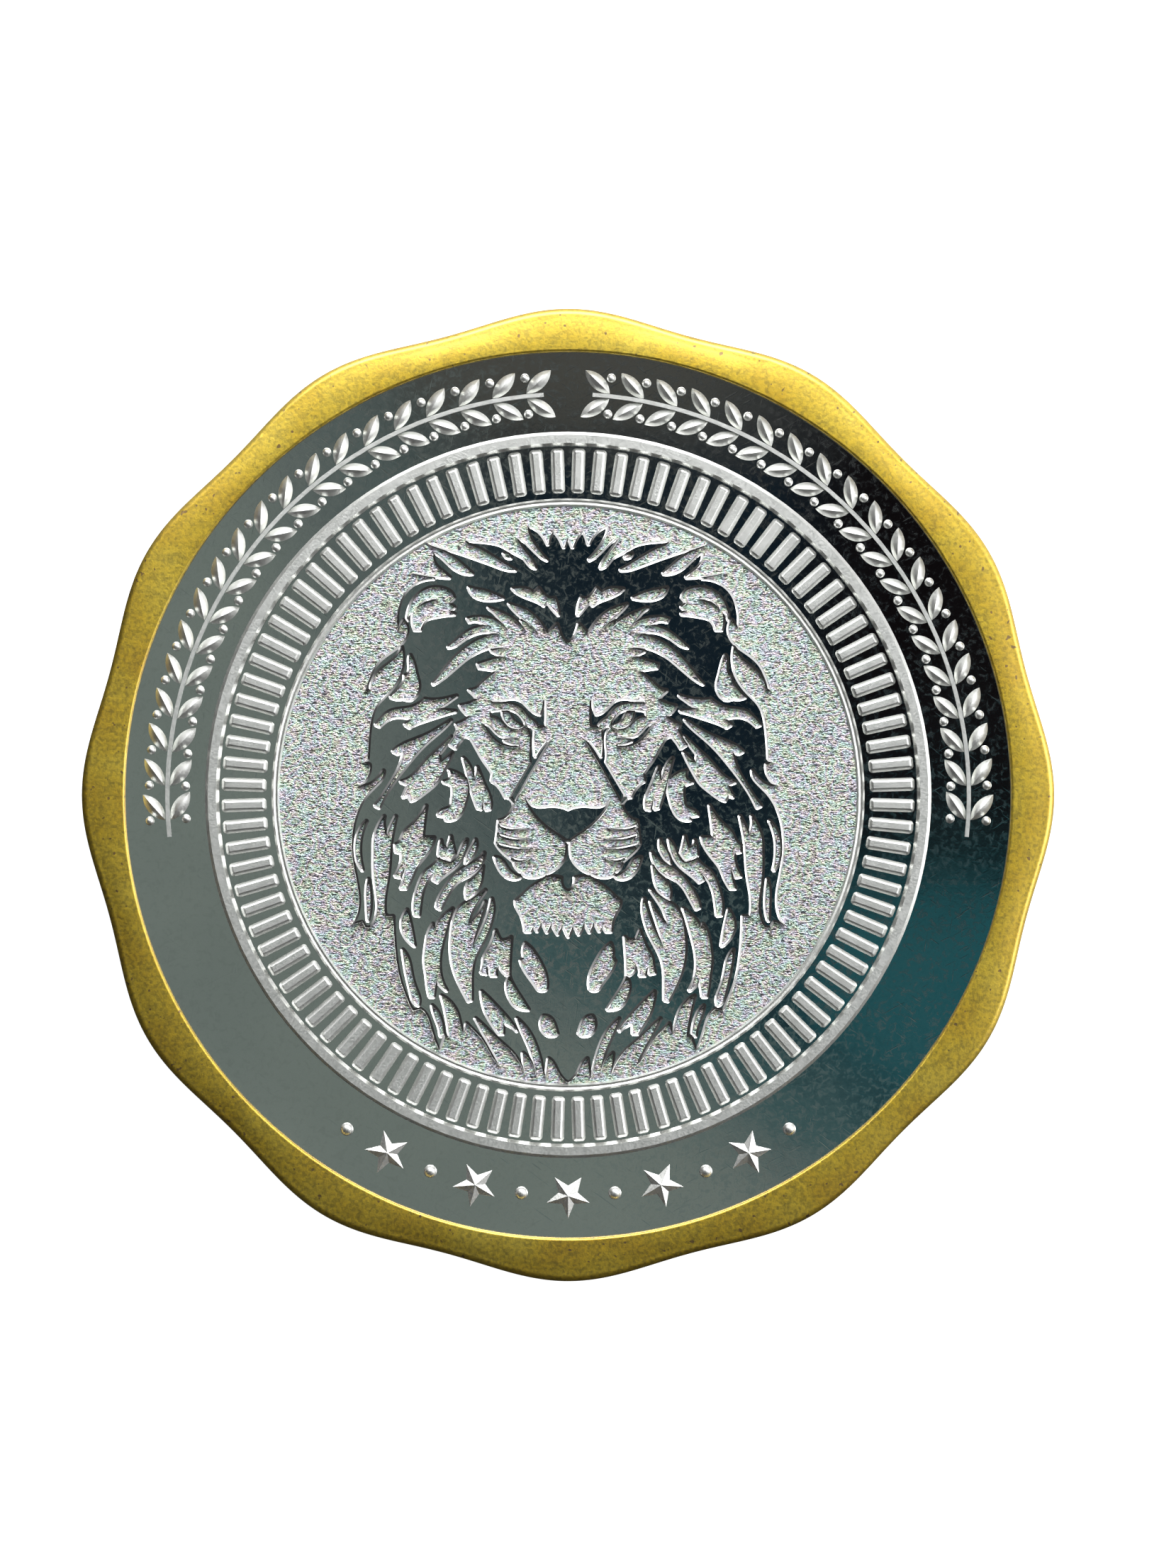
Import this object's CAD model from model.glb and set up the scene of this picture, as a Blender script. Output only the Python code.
import math
import random

import bmesh
import bpy
import numpy as np
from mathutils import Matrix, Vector
from mathutils.geometry import delaunay_2d_cdt


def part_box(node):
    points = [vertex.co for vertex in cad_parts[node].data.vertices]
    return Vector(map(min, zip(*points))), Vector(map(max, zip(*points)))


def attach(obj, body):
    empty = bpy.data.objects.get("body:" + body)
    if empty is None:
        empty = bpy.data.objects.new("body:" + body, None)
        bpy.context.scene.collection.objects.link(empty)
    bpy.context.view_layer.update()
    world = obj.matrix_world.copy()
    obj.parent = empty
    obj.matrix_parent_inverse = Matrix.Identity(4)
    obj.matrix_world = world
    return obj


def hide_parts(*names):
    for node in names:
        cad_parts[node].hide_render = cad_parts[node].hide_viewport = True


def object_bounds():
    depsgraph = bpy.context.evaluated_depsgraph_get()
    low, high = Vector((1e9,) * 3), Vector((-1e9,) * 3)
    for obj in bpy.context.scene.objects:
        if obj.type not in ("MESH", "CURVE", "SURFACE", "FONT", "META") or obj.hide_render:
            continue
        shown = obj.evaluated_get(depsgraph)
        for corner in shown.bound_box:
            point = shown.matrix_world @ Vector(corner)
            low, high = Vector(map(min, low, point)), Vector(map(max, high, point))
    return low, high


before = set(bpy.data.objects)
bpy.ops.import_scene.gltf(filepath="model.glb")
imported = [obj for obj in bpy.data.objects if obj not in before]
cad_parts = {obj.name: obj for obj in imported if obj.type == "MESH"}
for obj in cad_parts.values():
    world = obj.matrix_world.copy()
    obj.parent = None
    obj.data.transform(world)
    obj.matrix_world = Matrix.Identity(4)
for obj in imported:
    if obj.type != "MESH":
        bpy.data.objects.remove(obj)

MM = 0.001
CAD_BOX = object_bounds()
LOW, HIGH = (Vector(corner) for corner in CAD_BOX)
CREST_RADIUS = (HIGH.x - LOW.x) / 2
SEAM_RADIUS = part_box("core_disc")[1][0]


# ---- outlines from the CAD ---------------------------------------------------------------------

CORNER_TURN = math.radians(26)      # a sharper turn is a corner, and a gentler one a curve
FACE_TOLERANCE = 1e-6
KEY_DIGITS = 5                      # of a millimetre, in the keys that match coincident points


def mesh_arrays(node):
    """A CAD node's vertices (n, 3) and triangles (m, 3)."""
    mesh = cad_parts[node].data
    points = np.empty(len(mesh.vertices) * 3, np.float32)
    mesh.vertices.foreach_get("co", points)
    mesh.calc_loop_triangles()
    triangles = np.empty(len(mesh.loop_triangles) * 3, np.int32)
    mesh.loop_triangles.foreach_get("vertices", triangles)
    return points.reshape(-1, 3).astype(float), triangles.reshape(-1, 3)


def outlines(node, level):
    """Closed outlines of a node's flat face at its "top" or "bottom": lists of (x, y) in mm.

    The metal lies on the left of each outline.
    """
    points, triangles = mesh_arrays(node)
    z = points[:, 2].max() if level == "top" else points[:, 2].min()
    flat = np.abs(points[:, 2] - z) < FACE_TOLERANCE
    triangles = triangles[flat[triangles].all(axis=1)]
    keys = np.round(points[:, :2] / MM, KEY_DIGITS)
    ids = {}
    name = np.array([ids.setdefault(tuple(k), len(ids)) for k in keys])
    spots = list(ids)
    a, b, c = (keys[triangles[:, i]] for i in range(3))
    area = (b - a)[:, 0] * (c - a)[:, 1] - (b - a)[:, 1] * (c - a)[:, 0]
    edges = set()
    for corners, turn in zip(name[triangles], area):
        if turn < 0:
            corners = corners[::-1]
        for i in range(3):
            edges.add((corners[i], corners[(i + 1) % 3]))
    following = {}
    for start, end in edges:
        if (end, start) not in edges:
            following.setdefault(start, []).append(end)
    loops = []
    while following:
        start = min(following)
        loop = [start]
        while True:
            ends = following[loop[-1]]
            end = ends.pop()
            if not ends:
                del following[loop[-1]]
            if end == start:
                break
            loop.append(end)
        loops.append(np.array([spots[i] for i in loop]))
    return loops


def turns(loop):
    """Signed turn at each point of a closed outline, left positive."""
    before = loop - np.roll(loop, 1, axis=0)
    after = np.roll(loop, -1, axis=0) - loop
    cross = before[:, 0] * after[:, 1] - before[:, 1] * after[:, 0]
    return np.arctan2(cross, (before * after).sum(axis=1))


def fine_outline(loop, spacing):
    """The outline with smooth stretches resampled and corners kept: points, is_corner."""
    count = len(loop)
    corner = np.abs(turns(loop)) > CORNER_TURN
    points = []
    corners = []
    for i in range(count):
        p, q = loop[i], loop[(i + 1) % count]
        chord = q - p
        length = np.linalg.norm(chord)
        tangents = []
        for at, is_corner in ((i, corner[i]), ((i + 1) % count, corner[(i + 1) % count])):
            across = loop[(at + 1) % count] - loop[at - 1]
            tangents.append(chord if is_corner else across / np.linalg.norm(across) * length)
        steps = max(1, math.ceil(length / spacing))
        for k in range(steps):
            t = k / steps
            h1, h2 = 2 * t**3 - 3 * t**2 + 1, t**3 - 2 * t**2 + t
            h3, h4 = -2 * t**3 + 3 * t**2, t**3 - t**2
            points.append(h1 * p + h2 * tangents[0] + h3 * q + h4 * tangents[1])
            corners.append(bool(corner[i]) and k == 0)
    return np.array(points), np.array(corners)


# ---- struck relief -----------------------------------------------------------------------------

FAN_STEP = math.radians(25)         # between the inward directions at a notch
RINGS = (0, 0.2, 0.45, 0.72, 1)     # shares of the rounded side at which it has a row of points
REACH_ROWS = 400                    # spots compared at a time, to bound the memory
SHARP_EDGE = math.radians(38)
LEVEL_NORMAL = 0.9999               # a face whose normal rises this much is flat and level
MERGE_DISTANCE_MM = 0.0006
INSET_SLACK = 0.01                  # how much deeper than its neighbours' mean a spot may reach, mm


def fanned(points, corners):
    """Outline points with their inward directions. A notch gets a fan of directions."""
    before = points - np.roll(points, 1, axis=0)
    after = np.roll(points, -1, axis=0) - points
    before /= np.linalg.norm(before, axis=1)[:, None]
    after /= np.linalg.norm(after, axis=1)[:, None]
    turn = turns(points)
    spots = []
    inwards = []
    for i, point in enumerate(points):
        if corners[i] and turn[i] < -CORNER_TURN:
            angle = math.atan2(before[i][1], before[i][0]) + math.pi / 2
            steps = max(1, round(-turn[i] / FAN_STEP))
            for k in range(steps + 1):
                way = angle + turn[i] * k / steps
                spots.append(point)
                inwards.append((math.cos(way), math.sin(way)))
        else:
            along = before[i] + after[i]
            along /= max(np.linalg.norm(along), 1e-9)
            spots.append(point)
            inwards.append((-along[1], along[0]))
    return np.array(spots), np.array(inwards)


def reach(spots, inwards, every, most):
    """How far in from each spot the metal's middle line lies, at most `most`."""
    found = np.full(len(spots), most)
    for start in range(0, len(spots), REACH_ROWS):
        rows = slice(start, start + REACH_ROWS)
        away = every[None, :, :] - spots[rows, None, :]
        ahead = (away * inwards[rows, None, :]).sum(axis=2)
        square = (away**2).sum(axis=2)
        near = (ahead > 1e-5) & (square > 1e-8) & (square < 4 * most**2)
        radius = np.where(near, square / (2 * np.where(near, ahead, 1)), most)
        found[rows] = np.minimum(found[rows], radius.min(axis=1))
    return found


def inside_only(points, triangles, spots, edges):
    """The triangles whose middles the outlines wind round once to the left."""
    flat = np.array([(p.x, p.y) for p in points])
    corners = np.array(triangles)
    middles = flat[corners].mean(axis=1)
    order = np.argsort(middles[:, 1])
    heights = middles[order, 1]
    across = middles[order, 0]
    winding = np.zeros(len(order), int)
    for (ax, ay), (bx, by) in spots[edges]:
        if ay == by:
            continue
        low, high = sorted((ay, by))
        rows = slice(*np.searchsorted(heights, (low, high)))
        crossing = ax + (heights[rows] - ay) * (bx - ax) / (by - ay)
        winding[rows] += np.where(crossing > across[rows], 1 if by > ay else -1, 0)
    return corners[order[winding == 1]]


def rounded(t):
    """Height of a struck edge, from 0 at its foot to 1 where it turns flat."""
    return 1 - (1 - t) ** 1.5


def struck_relief(node, bevel, level="top", spacing=0.06, foot=0.0):
    """Replace a flat-topped CAD node by the same outlines with struck, rounded-over sides.

    bevel is the width of the rounded side and spacing the distance between outline points, in mm.
    Where the metal is narrower than two bevels its sides meet in a ridge, so that tips run out to
    a point. foot is the share of the height that stands straight up at the outline.
    """
    vertices = []
    faces = []
    low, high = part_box(node)
    base, top = low[2] / MM, high[2] / MM
    samples = []
    for loop in outlines(node, level):
        samples.append(fanned(*fine_outline(loop, spacing)))
    every = np.concatenate([spots for spots, inwards in samples])
    cap_points = []
    cap_edges = []
    cap_names = []
    for spots, inwards in samples:
        inset = reach(spots, inwards, every, bevel)
        inset = np.minimum(inset, (np.roll(inset, 1) + np.roll(inset, -1)) / 2 + INSET_SLACK)
        first = len(vertices)
        count = len(spots)
        vertices += [(x, y, base) for x, y in spots]
        for share in RINGS:
            ring = spots + inwards * (inset * share)[:, None]
            height = base + (top - base) * (foot + (1 - foot) * rounded(inset * share / bevel))
            vertices += [(x, y, z) for (x, y), z in zip(ring, height)]
        for row in range(len(RINGS)):
            lower = first + row * count
            for i in range(count):
                j = (i + 1) % count
                faces.append((lower + i, lower + j, lower + count + j, lower + count + i))
        last = first + len(RINGS) * count
        start = len(cap_points)
        for i in range(count):
            cap_points.append(vertices[last + i][:2])
            cap_names.append(last + i)
            cap_edges.append((start + i, start + (i + 1) % count))
    faces += cap_faces(cap_points, cap_edges, cap_names, vertices, top)
    return relief_object(node + "_struck", node, vertices, faces)


def cap_faces(points, edges, names, vertices, top):
    """Triangles of the flat top inside its outlines; points that it needs besides join vertices."""
    flat = [Vector(p) for p in points]
    made, _, triangles, sources, _, _ = delaunay_2d_cdt(flat, edges, [], 0, 1e-5)
    triangles = inside_only(made, triangles, np.array(points), np.array(edges))
    used = []
    for spot, origin in zip(made, sources):
        if origin:
            used.append(names[origin[0]])
        else:
            used.append(len(vertices))
            vertices.append((spot.x, spot.y, top))
    return [tuple(used[i] for i in triangle) for triangle in triangles]


def relief_object(piece, node, vertices, faces):
    """A mesh object in metres from mm that replaces a node, with rounded edges shaded smooth."""
    mesh = bpy.data.meshes.new(piece)
    mesh.from_pydata([tuple(v * MM for v in p) for p in vertices], [], faces)
    mesh.validate()
    merge_close(mesh)
    mesh.shade_smooth()
    mesh.set_sharp_from_angle(angle=SHARP_EDGE)
    for face in mesh.polygons:
        if face.normal.z > LEVEL_NORMAL:
            face.use_smooth = False
    obj = bpy.data.objects.new(piece, mesh)
    bpy.context.scene.collection.objects.link(obj)
    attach(obj, "root")
    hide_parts(node)
    return obj


def merge_close(mesh):
    """Join coincident vertices and drop collapsed faces."""
    work = bmesh.new()
    work.from_mesh(mesh)
    bmesh.ops.remove_doubles(work, verts=work.verts, dist=MERGE_DISTANCE_MM * MM)
    bmesh.ops.dissolve_degenerate(work, edges=work.edges, dist=MERGE_DISTANCE_MM / 2 * MM)
    work.to_mesh(mesh)
    work.free()


# ---- rim ---------------------------------------------------------------------------------------

RIM_STEPS = 720
LOBES = 12
WAVE = 0.27                         # half the height from trough to crest, mm
LIP = 0.14                          # rounding of the inner edge, mm
LIP_STEPS = 6
EDGE = 0.32                         # rounding of the outer edge, mm
EDGE_STEPS = 9
CROWN = 0.09                        # fall of the top from its inner to its outer edge, mm
WALL_ROW = 0.55                     # depth under the top of a row of points on the inner wall, mm
BELT = 0.999                        # the side's last row lies this share of the way to mid-height
DINGS = 70
DING_REACH = 3                      # rim steps to each side of a ding's middle


def rim_section(outer):
    """(radius, z) in mm round the rim's section at one angle, from the seam over the top."""
    seam = SEAM_RADIUS / MM
    top = HIGH.z / MM
    section = [(seam, top / 2), (seam, top - WALL_ROW)]
    for k in range(LIP_STEPS + 1):
        turn = math.pi / 2 * k / LIP_STEPS
        section.append((seam + LIP * (1 - math.cos(turn)), top - LIP * (1 - math.sin(turn))))
    for share in (0.12, 0.3, 0.5, 0.7, 0.88):
        radius = seam + LIP + (outer - EDGE - seam - LIP) * share
        section.append((radius, top - CROWN * share**2))
    for k in range(EDGE_STEPS + 1):
        turn = math.pi / 2 * k / EDGE_STEPS
        drop = CROWN + (EDGE - CROWN) * (1 - math.cos(turn))
        section.append((outer - EDGE * (1 - math.sin(turn)), top - drop))
    for share in (0.2, 0.5):
        section.append((outer, top - EDGE - (top / 2 - EDGE) * share * 2 * BELT))
    return section


def build_rim():
    """The gold rim as a swept section with small dings in its top."""
    rng = random.Random(5)
    dings = []
    for _ in range(DINGS):
        dings.append((rng.uniform(0, 2 * math.pi), rng.uniform(0.25, 0.95), rng.uniform(0.05, 0.14),
                      rng.uniform(0.004, 0.014)))
    mean = CREST_RADIUS / MM - WAVE
    vertices = []
    for i in range(RIM_STEPS):
        angle = 2 * math.pi * i / RIM_STEPS
        section = rim_section(mean + WAVE * math.cos(LOBES * angle))
        whole = section[:-1] + [(r, HIGH.z / MM - z) for r, z in reversed(section[1:])]
        for r, z in whole:
            vertices.append([r, z, angle])
    rows = len(whole)
    for turn, share, size, depth in dings:
        centre = SEAM_RADIUS / MM + share * (mean - SEAM_RADIUS / MM)
        press_ding(vertices, rows, turn, centre, size, depth)
    points = [(r * math.cos(a), r * math.sin(a), z) for r, z, a in vertices]
    faces = []
    for i in range(RIM_STEPS):
        j = (i + 1) % RIM_STEPS
        for k in range(rows):
            m = (k + 1) % rows
            faces.append((i * rows + k, i * rows + m, j * rows + m, j * rows + k))
    return relief_object("rim_gold", "rim_ring", points, faces)


def press_ding(vertices, rows, turn, centre, size, depth):
    """Sink a round dent into the rim's upper half at an angle and a radius."""
    step = 2 * math.pi / RIM_STEPS
    middle = int(turn / (2 * math.pi) * RIM_STEPS)
    for offset in range(-DING_REACH, DING_REACH + 1):
        i = (middle + offset) % RIM_STEPS
        for vertex in vertices[i * rows:(i + 1) * rows]:
            if vertex[1] < HIGH.z / MM / 2:
                continue
            away = math.hypot(vertex[0] - centre, offset * step * vertex[0]) / size
            if away < 1:
                vertex[1] -= depth * (1 - away * away)


# ---- materials ---------------------------------------------------------------------------------

class Graph:
    """Shader nodes of one material, linked as they are made."""

    def __init__(self, name):
        self.material = bpy.data.materials.new(name)
        self.material.use_nodes = True
        self.tree = self.material.node_tree
        self.place = self.add("ShaderNodeTexCoord").outputs["Object"]

    def add(self, kind, **settings):
        node = self.tree.nodes.new(kind)
        for key, value in settings.items():
            setattr(node, key, value)
        return node

    def link(self, source, target):
        self.tree.links.new(source, target)

    def feed(self, socket, value):
        """Link a socket, or set its plain value."""
        if isinstance(value, bpy.types.NodeSocket):
            self.link(value, socket)
        elif isinstance(value, tuple):
            socket.default_value = (*value, 1)
        else:
            socket.default_value = value

    def math(self, operation, a, b=0.0, c=0.0):
        node = self.add("ShaderNodeMath", operation=operation)
        for socket, value in zip(node.inputs, (a, b, c)):
            self.feed(socket, value)
        return node.outputs["Value"]

    def smooth(self, value, low, high):
        """0 below low, 1 above high, smooth between."""
        node = self.add("ShaderNodeMapRange", interpolation_type="SMOOTHSTEP")
        self.feed(node.inputs["Value"], value)
        node.inputs["From Min"].default_value = low
        node.inputs["From Max"].default_value = high
        return node.outputs["Result"]

    def stretched(self, scale, turn=0.0):
        """Object coordinates turned about Z and then stretched."""
        mapping = self.add("ShaderNodeMapping", vector_type="TEXTURE")
        mapping.inputs["Scale"].default_value = [1 / value for value in scale]
        mapping.inputs["Rotation"].default_value = (0, 0, turn)
        self.link(self.place, mapping.inputs["Vector"])
        return mapping.outputs["Vector"]

    def noise(self, scale, detail=2.0, rough=0.5, distortion=0.0, at=None):
        node = self.add("ShaderNodeTexNoise")
        node.inputs["Scale"].default_value = scale
        node.inputs["Detail"].default_value = detail
        node.inputs["Roughness"].default_value = rough
        node.inputs["Distortion"].default_value = distortion
        self.link(at or self.place, node.inputs["Vector"])
        return node

    def pastel(self, scale, cycles, depth):
        """Patches of faint colour that run through the rainbow several times."""
        node = self.add("ShaderNodeCombineColor", mode="HSV")
        hue = self.math("MULTIPLY", self.noise(scale, 1).outputs["Fac"], float(cycles))
        self.link(self.math("FRACT", hue), node.inputs["Red"])
        node.inputs["Green"].default_value = depth
        node.inputs["Blue"].default_value = 1.0
        return node.outputs["Color"]

    def ramp(self, source, *stops):
        """A colour ramp from (position, value or colour) stops."""
        node = self.add("ShaderNodeValToRGB")
        ramp = node.color_ramp
        while len(ramp.elements) < len(stops):
            ramp.elements.new(0.5)
        for element, (position, value) in zip(ramp.elements, stops):
            element.position = position
            color = value if isinstance(value, tuple) else (value, value, value)
            element.color = (*color, 1)
        self.link(source, node.inputs["Fac"])
        return node.outputs["Color"]

    def mix(self, factor, a, b, blend="MIX"):
        """Mix two colours; each is a socket or a tuple."""
        node = self.add("ShaderNodeMix", data_type="RGBA", blend_type=blend)
        self.feed(node.inputs["Factor"], factor)
        self.feed(node.inputs["A"], a)
        self.feed(node.inputs["B"], b)
        return node.outputs["Result"]


class Recipe(Graph):
    """A metal: a Principled shader and the nodes that drive it."""

    def __init__(self, name, roughness, color):
        super().__init__(name)
        self.shader = self.tree.nodes["Principled BSDF"]
        self.shader.inputs["Metallic"].default_value = 1.0
        self.shader.inputs["Roughness"].default_value = roughness
        self.shader.inputs["Base Color"].default_value = (*color, 1)
        self.bump_chain = None

    def bump(self, height, strength, distance):
        """Add a bump layer, distance in mm."""
        node = self.add("ShaderNodeBump")
        node.inputs["Strength"].default_value = strength
        node.inputs["Distance"].default_value = distance * MM
        self.link(height, node.inputs["Height"])
        if self.bump_chain:
            self.link(self.bump_chain, node.inputs["Normal"])
        self.bump_chain = node.outputs["Normal"]
        self.link(self.bump_chain, self.shader.inputs["Normal"])

    def color(self, source):
        self.link(source, self.shader.inputs["Base Color"])

    def roughness(self, source):
        self.link(source, self.shader.inputs["Roughness"])


def mirror_silver(name, mottle):
    """Proof-polished silver with hairline scratches; mottle dulls the polish in small blotches."""
    m = Recipe(name, 0.05, (0.8, 0.8, 0.79))
    smear = m.noise(180, 3).outputs["Fac"]
    cloud = m.noise(3400, 3, 0.6, 0.8).outputs["Fac"]
    tint = m.ramp(smear, (0.3, (0.76, 0.765, 0.76)), (0.7, (0.86, 0.855, 0.84)))
    m.color(m.mix(mottle, tint, m.ramp(cloud, (0.3, 0.5), (0.5, 0.85), (0.7, 1.0)), "MULTIPLY"))
    lines = (0.0, 0.0, 0.0)
    for turn, scale in ((0.5, 9000), (1.4, 10000), (2.5, 8000)):
        line = m.noise(scale, 1, at=m.stretched((0.09, 1, 1), turn)).outputs["Fac"]
        lines = m.mix(1.0, m.ramp(line, (0.7, 0.0), (0.78, 1.0)), lines, "LIGHTEN")
    m.bump(lines, 0.12, 0.003)
    m.bump(m.noise(420, 2).outputs["Fac"], 0.10, 0.02)
    m.bump(cloud, 0.05 + 0.25 * mottle, 0.004)
    base = m.ramp(smear, (0.3, 0.035), (0.75, 0.08))
    dull = 0.08 + 0.25 * mottle
    base = m.mix(m.ramp(cloud, (0.5, 0.0), (0.62, 1.0)), base, (dull, dull, dull))
    m.roughness(m.mix(lines, base, (0.15, 0.15, 0.15)))
    return m.material


def sandblasted_silver():
    """Coarse sandblast: pale wavy grains between dark creases, with faint rainbow patches."""
    m = Recipe("sandblasted_silver", 0.36, (0.9, 0.9, 0.9))
    flow = m.stretched((0.42, 1, 1))
    worms = m.noise(12500, 1, 0.5, 0.8, at=flow).outputs["Fac"]
    pits = m.noise(15000, 1, 0.5).outputs["Fac"]
    m.bump(m.ramp(worms, (0.36, 0.0), (0.5, 0.8), (0.62, 1.0)), 1.0, 0.03)
    m.bump(pits, 0.3, 0.012)
    grains = m.ramp(worms, (0.33, 0.25), (0.43, 0.8), (0.49, 1.0))
    sheen = m.mix(1.0, m.pastel(1300, 5, 0.16), m.pastel(6500, 7, 0.14), "MULTIPLY")
    sheen = m.mix(1.0, sheen, (0.935, 1.0, 0.955), "MULTIPLY")
    m.color(m.mix(1.0, sheen, grains, "MULTIPLY"))
    m.roughness(m.ramp(pits, (0.3, 0.28), (0.7, 0.46)))
    return m.material


def frosted_silver():
    """Fine frost on the ribs, rings and ornaments."""
    m = Recipe("frosted_silver", 0.46, (0.9, 0.9, 0.885))
    frost = m.noise(12000, 2, 0.6).outputs["Fac"]
    cloud = m.noise(1500, 2).outputs["Fac"]
    m.bump(frost, 0.55, 0.012)
    m.color(m.ramp(cloud, (0.3, (0.8, 0.81, 0.78)), (0.7, (0.93, 0.94, 0.91))))
    m.roughness(m.ramp(frost, (0.3, 0.35), (0.7, 0.5)))
    return m.material


def satin_gold():
    """Matte gold plating with a pebbled grain, dark specks and slightly worn patches."""
    m = Recipe("satin_gold", 0.4, (0.85, 0.6, 0.03))
    m.shader.inputs["Coat Weight"].default_value = 1.0
    m.shader.inputs["Coat Roughness"].default_value = 0.3
    m.shader.inputs["Coat IOR"].default_value = 1.9
    grain = m.noise(6200, 3, 0.65).outputs["Fac"]
    patch = m.noise(420, 3).outputs["Fac"]
    gold = m.ramp(patch, (0.3, (0.75, 0.48, 0.008)), (0.5, (0.83, 0.575, 0.02)),
                  (0.75, (0.89, 0.66, 0.05)))
    gold = m.mix(1.0, gold, m.ramp(grain, (0.34, 0.76), (0.56, 1.0)), "MULTIPLY")
    speck = m.ramp(m.noise(3300, 1).outputs["Fac"], (0.255, 1.0), (0.28, 0.0))
    m.color(m.mix(speck, gold, (0.3, 0.18, 0.03)))
    m.bump(grain, 0.7, 0.016)
    m.bump(m.noise(1300, 2).outputs["Fac"], 0.25, 0.03)
    m.roughness(m.ramp(grain, (0.3, 0.33), (0.7, 0.47)))
    return m.material


SILVER_MIRROR = mirror_silver("mirror_silver", 0.2)
SILVER_RELIEF = mirror_silver("mirror_silver_relief", 0.28)
SILVER_SAND = sandblasted_silver()
SILVER_FROST = frosted_silver()
GOLD = satin_gold()


def finish_piece(obj, material):
    """Give a piece made here its one material."""
    obj.data.materials.clear()
    obj.data.materials.append(material)


def finish_node(node, material):
    """A better material on a CAD node that stays."""
    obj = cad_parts[node]
    if not obj.material_slots:
        obj.data.materials.append(material)
    for holder in obj.material_slots:
        holder.material = material


# ---- the coin ----------------------------------------------------------------------------------

LION_EDGES_MM = {
    "lion_mane": 0.12,
    "lion_nose": 0.12,
    "lion_brows": 0.12,
    "lion_ear_folds": 0.12,
    "lion_muzzle_lines": 0.11,
    "lion_eyes": 0.11,
    "lion_eye_bags": 0.11,
    "lion_whiskers": 0.1,
}
RIB_EDGE_MM = 0.17
LEAF_EDGE_MM = 0.34                 # over half a leaf's width, so that its sides meet in a ridge
FROSTED_NODES = ("obverse_bead_ring", "obverse_border_ring", "laurel_stems", "laurel_berries",
                 "legend_stars", "legend_pellets", "reverse_bead_ring", "reverse_border_ring",
                 "reverse_star", "reverse_pellets")

finish_piece(build_rim(), GOLD)
for name, edge in LION_EDGES_MM.items():
    finish_piece(struck_relief(name, edge, foot=0.7), SILVER_RELIEF)
ribs = struck_relief("obverse_ribs", RIB_EDGE_MM, level="bottom", spacing=0.12, foot=0.5)
finish_piece(ribs, SILVER_FROST)
leaves = struck_relief("laurel_leaves", LEAF_EDGE_MM, level="bottom", spacing=0.12)
finish_piece(leaves, SILVER_FROST)

finish_node("core_disc", SILVER_MIRROR)
for name in ("obverse_ground", "reverse_ground"):
    finish_node(name, SILVER_SAND)
for name in FROSTED_NODES:
    finish_node(name, SILVER_FROST)


# ---- studio ------------------------------------------------------------------------------------

CAMERA_HEIGHT = 0.40
VIEW_HEIGHT_MM = 71.6               # seen from top to bottom of the frame
SENSOR = 36.0
FRAMING = (0.00091, 0.0005)         # the camera's offset from the coin's middle
FLOOR_HALF = 3
FLOOR_GAP = 0.00002                 # keeps the floor clear of the rim's underside
BACKDROP_FOOT = -0.01
ROOM_HALF = 0.1
ROOM_GAP = 0.03                     # from the camera up to the room card
MIRRORED_SCALE = 2 + ROOM_GAP / CAMERA_HEIGHT  # place on the room card over place on the coin
SKY_WAY = (0.55, 0.83, 0)           # towards the bright side of the sky
SKY_STEPS = ((0.3, 0.04), (0.47, 0.12), (0.6, 0.6), (0.8, 1.0))


def glowing(name, color):
    """A material for studio panels that glow in one colour."""
    g = Graph(name)
    shader = g.tree.nodes["Principled BSDF"]
    shader.inputs["Base Color"].default_value = (*color, 1)
    shader.inputs["Roughness"].default_value = 0.9
    shader.inputs["Specular IOR Level"].default_value = 0.0
    shader.inputs["Emission Color"].default_value = (*color, 1)
    shader.inputs["Emission Strength"].default_value = 1.0
    return g.material


def stage_mesh(name, corners, faces, material):
    mesh = bpy.data.meshes.new(name)
    mesh.from_pydata(corners, [], faces)
    mesh.materials.append(material)
    obj = bpy.data.objects.new(name, mesh)
    bpy.context.scene.collection.objects.link(obj)
    return obj


def level_card(name, half, height, material):
    """A square level stage panel over the middle of the coin."""
    corners = [(-half, -half, 0), (half, -half, 0), (half, half, 0), (-half, half, 0)]
    obj = stage_mesh(name, corners, [(0, 1, 2, 3)], material)
    obj.location = (0, 0, height)
    return obj


def backdrop_walls(half, height, material):
    """Four upright panels round the stage that close off the view over the floor."""
    corners = []
    for z in (BACKDROP_FOOT, height):
        corners += [(-half, -half, z), (half, -half, z), (half, half, z), (-half, half, z)]
    faces = [(i, (i + 1) % 4, 4 + (i + 1) % 4, 4 + i) for i in range(4)]
    return stage_mesh("backdrop", corners, faces, material)


def hide_from_light(obj, glossy_too):
    """Keep a stage panel out of the light that falls on the coin."""
    obj.visible_diffuse = False
    obj.visible_shadow = False
    if glossy_too:
        obj.visible_glossy = False


def soft_light(name, size, location, power):
    """A rectangular light aimed at the coin and not seen itself."""
    data = bpy.data.lights.new(name, "AREA")
    data.shape = "RECTANGLE"
    data.size, data.size_y = size
    data.energy = power
    obj = bpy.data.objects.new(name, data)
    bpy.context.scene.collection.objects.link(obj)
    obj.location = location
    obj.rotation_euler = (-Vector(location)).to_track_quat("-Z", "Y").to_euler()
    obj.visible_camera = False
    return obj


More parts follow.
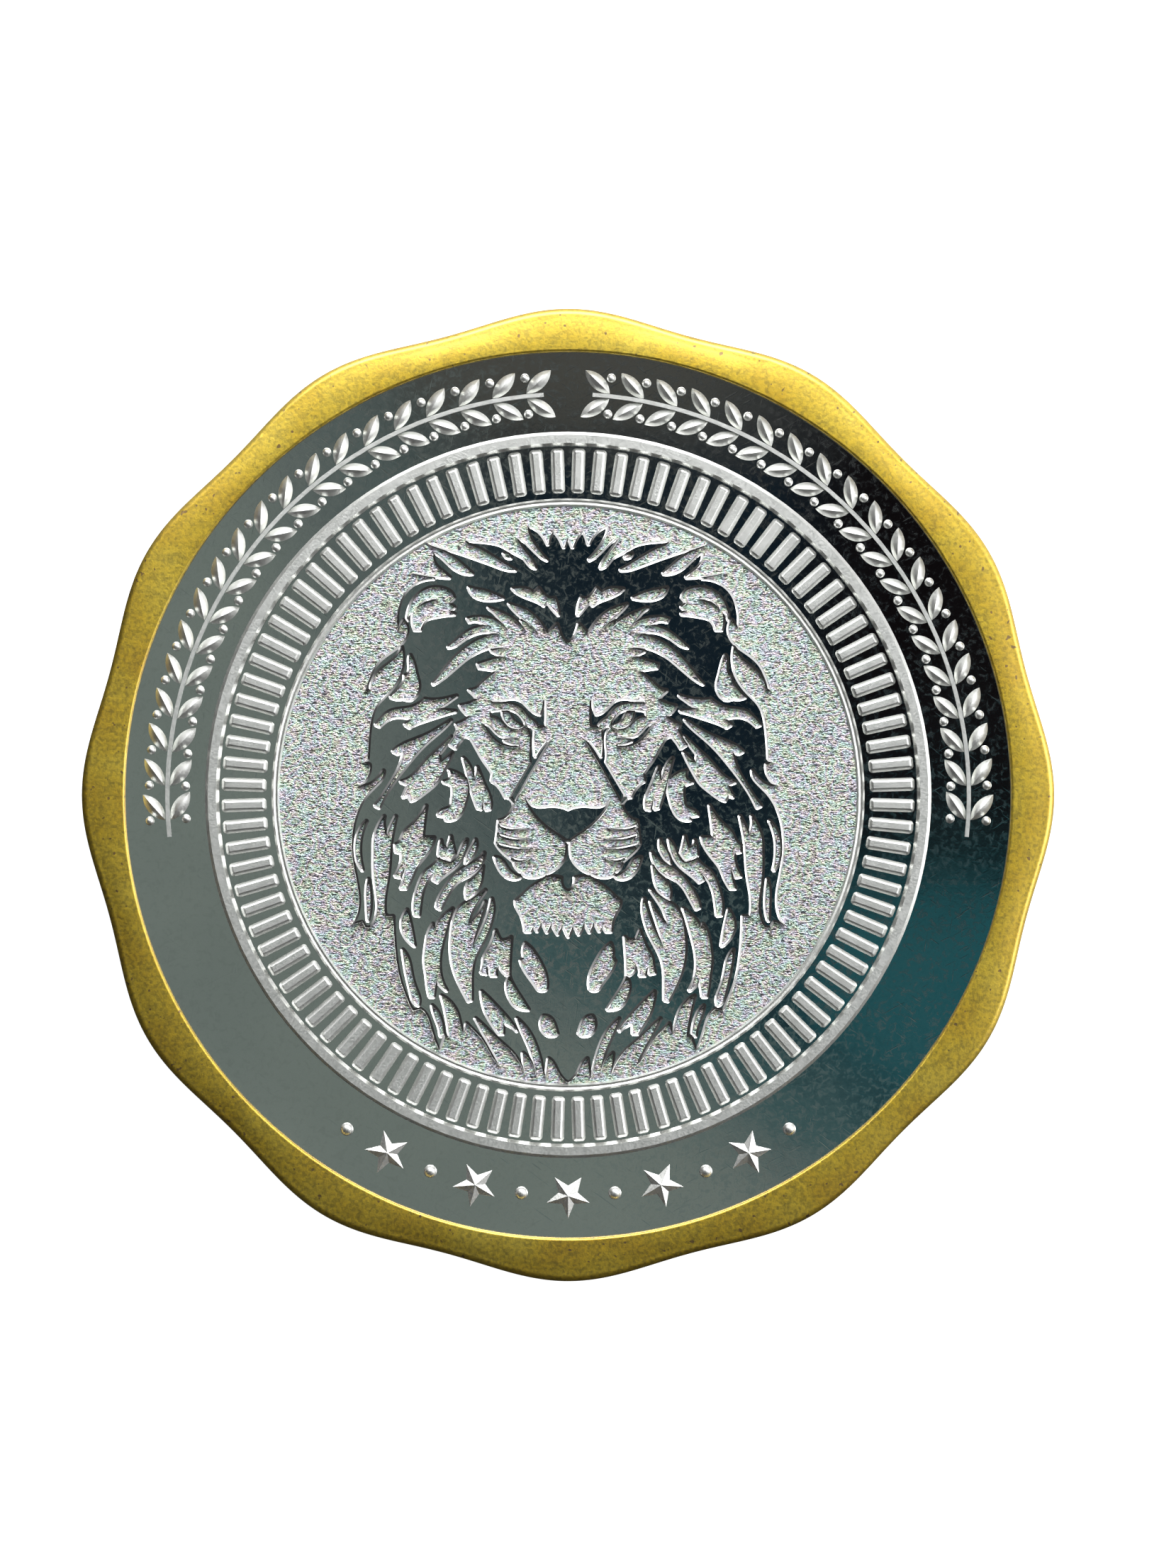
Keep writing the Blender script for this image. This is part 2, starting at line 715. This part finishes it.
def room_material():
    """The dim room over the coin: grey to the left and below, dark to the right, teal at the divide.

    x and y are the place on the coin, in mm, that mirrors a point of the card to the camera. side
    runs across the slanted divide, from the grey side below 0 to the dark side above it.
    """
    g = Graph("room")
    g.tree.nodes.clear()
    g.place = g.add("ShaderNodeTexCoord").outputs["Object"]
    split = g.add("ShaderNodeSeparateXYZ")
    g.link(g.place, split.inputs["Vector"])
    x = g.math("MULTIPLY", split.outputs["X"], 1 / (MIRRORED_SCALE * MM))
    y = g.math("MULTIPLY", split.outputs["Y"], 1 / (MIRRORED_SCALE * MM))
    side = g.math("MINIMUM", g.math("MULTIPLY_ADD", y, 0.35, x),
                  g.math("ADD", g.math("MULTIPLY_ADD", y, 1.45, x), 8.0))
    across = g.math("MULTIPLY_ADD", side, 1 / 16, 0.75)
    color = g.ramp(across, (0.06, (0.17, 0.205, 0.185)), (0.3, (0.115, 0.14, 0.135)),
                   (0.56, (0.085, 0.12, 0.116)), (0.7, (0.026, 0.044, 0.054)),
                   (0.78, (0.006, 0.014, 0.022)))
    low_middle = g.math("MULTIPLY", g.smooth(side, -8.0, -4.0), g.smooth(side, 1.0, -2.0))
    low_middle = g.math("MULTIPLY", low_middle, g.smooth(y, -4.0, -8.0))
    color = g.mix(low_middle, color, (0.045, 0.108, 0.112))
    right = g.smooth(x, 8.5, 12.0)
    above = g.smooth(y, -5.5, -3.0)
    corner = g.mix(above, (0.018, 0.095, 0.11), (0.005, 0.004, 0.0045))
    dark = g.smooth(side, 1.5, 3.5)
    color = g.mix(g.math("MULTIPLY", right, dark), color, corner)
    top = g.math("MULTIPLY", g.smooth(y, 14.0, 18.0), g.smooth(x, 14.0, 4.0))
    color = g.mix(g.math("MULTIPLY", top, g.smooth(side, -4.0, 0.0)), color, (0.075, 0.075, 0.066))
    glow = g.add("ShaderNodeEmission")
    g.link(color, glow.inputs["Color"])
    out = g.add("ShaderNodeOutputMaterial")
    g.link(glow.outputs["Emission"], out.inputs["Surface"])
    return g.material


def sky():
    """A soft sky that is bright behind the head of the coin and dark at its foot."""
    world = bpy.data.worlds.new("studio")
    world.use_nodes = True
    tree = world.node_tree
    way = tree.nodes.new("ShaderNodeTexCoord")
    tilted = tree.nodes.new("ShaderNodeVectorMath")
    tilted.operation = "DOT_PRODUCT"
    tilted.inputs[1].default_value = SKY_WAY
    ramp = tree.nodes.new("ShaderNodeValToRGB")
    level = tree.nodes.new("ShaderNodeMapRange")
    level.inputs["From Min"].default_value = -1
    tree.links.new(way.outputs["Generated"], tilted.inputs[0])
    tree.links.new(tilted.outputs["Value"], level.inputs["Value"])
    tree.links.new(level.outputs["Result"], ramp.inputs["Fac"])
    while len(ramp.color_ramp.elements) < len(SKY_STEPS):
        ramp.color_ramp.elements.new(0.5)
    for element, (position, value) in zip(ramp.color_ramp.elements, SKY_STEPS):
        element.position = position
        element.color = (value, value, value * 1.01, 1)
    tree.links.new(ramp.outputs["Color"], tree.nodes["Background"].inputs["Color"])
    return world


paper = glowing("floor_paper", (1, 1, 1))
level_card("floor", FLOOR_HALF, LOW.z - FLOOR_GAP, paper).visible_glossy = False
hide_from_light(backdrop_walls(FLOOR_HALF, FLOOR_HALF, paper), glossy_too=True)
room = level_card("room", ROOM_HALF, CAMERA_HEIGHT + ROOM_GAP, room_material())
room.visible_camera = False
hide_from_light(room, glossy_too=False)

soft_light("key", (0.12, 0.08), (0.0, 0.105, 0.11), 0.158)
soft_light("side", (0.08, 0.08), (0.13, 0.0, 0.10), 0.065)
bpy.context.scene.world = sky()
bpy.context.scene.view_settings.view_transform = "Standard"

lens_data = bpy.data.cameras.new("camera")
lens_data.sensor_fit = "VERTICAL"
lens_data.sensor_height = SENSOR
lens_data.lens = SENSOR * (CAMERA_HEIGHT - HIGH.z) / (VIEW_HEIGHT_MM * MM)
lens_data.clip_start = 0.01
lens_data.clip_end = 20
camera = bpy.data.objects.new("camera", lens_data)
camera.location = (*FRAMING, CAMERA_HEIGHT)
bpy.context.scene.collection.objects.link(camera)
bpy.context.scene.camera = camera
